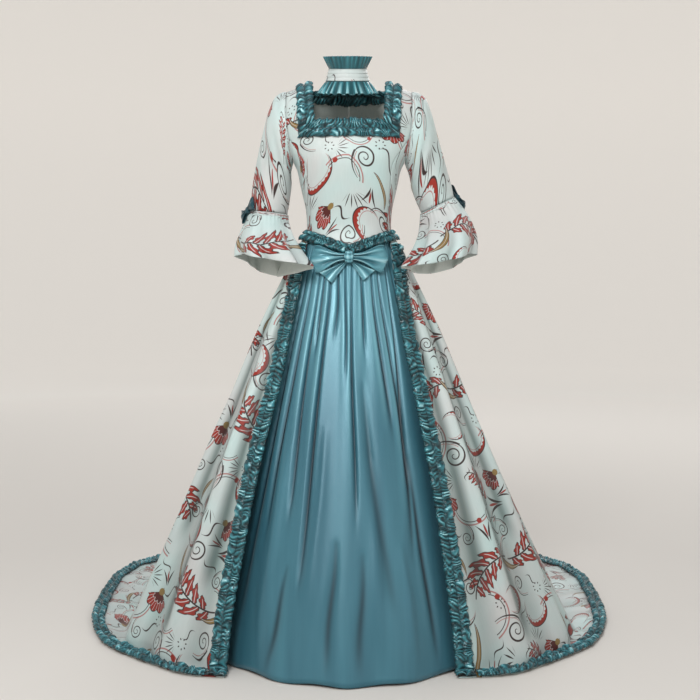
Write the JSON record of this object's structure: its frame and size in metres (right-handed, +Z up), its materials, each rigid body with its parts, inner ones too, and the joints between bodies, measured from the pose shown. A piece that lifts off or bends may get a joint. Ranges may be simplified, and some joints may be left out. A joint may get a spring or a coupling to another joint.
{
  "type": "medieval gown",
  "caption": "Long printed gown with a square trimmed neckline, flounced elbow sleeves, a satin underskirt, an open overskirt with a train, and a choker to match.",
  "frame": {"origin": "midway between the shoulders at the height of their tops, where the wearer's shoulders carry the gown", "axes": "+X to the viewer's right from in front, +Y to the back, where the train lies, +Z up; the floor is at Z = -1.45 m"},
  "size_m": [1.4916, 1.6549, 1.5443],
  "materials": {
    "print": "satin weave with a scattered print of leaf sprays, scrolls and flowers",
    "satin": "satin",
    "trim": "satin, gathered",
    "bow": "satin",
    "dark_bow": "satin"
  },
  "bodies": {
    "root": {"bodice_front": "print", "bodice_side_right": "print", "bodice_side_left": "print", "bodice_back_right": "print", "bodice_back_left": "print", "sleeve_right": "print", "sleeve_left": "print", "flounce_right": "print", "flounce_left": "print", "underskirt_front": "satin", "underskirt_back": "satin", "overskirt_right": "print", "overskirt_left": "print", "overskirt_back_right": "print", "overskirt_back_left": "print", "neck_ruffle_front": "trim", "neck_ruffle_right": "trim", "neck_ruffle_left": "trim", "neck_ruffle_back": "trim", "waist_ruffle_front": "trim", "waist_ruffle_back": "trim", "edge_ruffle_right": "trim", "edge_ruffle_left": "trim", "hem_ruffle_right": "trim", "hem_ruffle_left": "trim", "bow_loop_right": "bow", "bow_loop_left": "bow", "bow_tail_right": "bow", "bow_tail_left": "bow", "bow_knot": "bow", "elbow_bow_left": "dark_bow", "elbow_bow_right": "dark_bow", "choker_band": "print", "choker_ruffle_top": "trim", "choker_ruffle_bottom": "trim"}
  },
  "joints": []
}
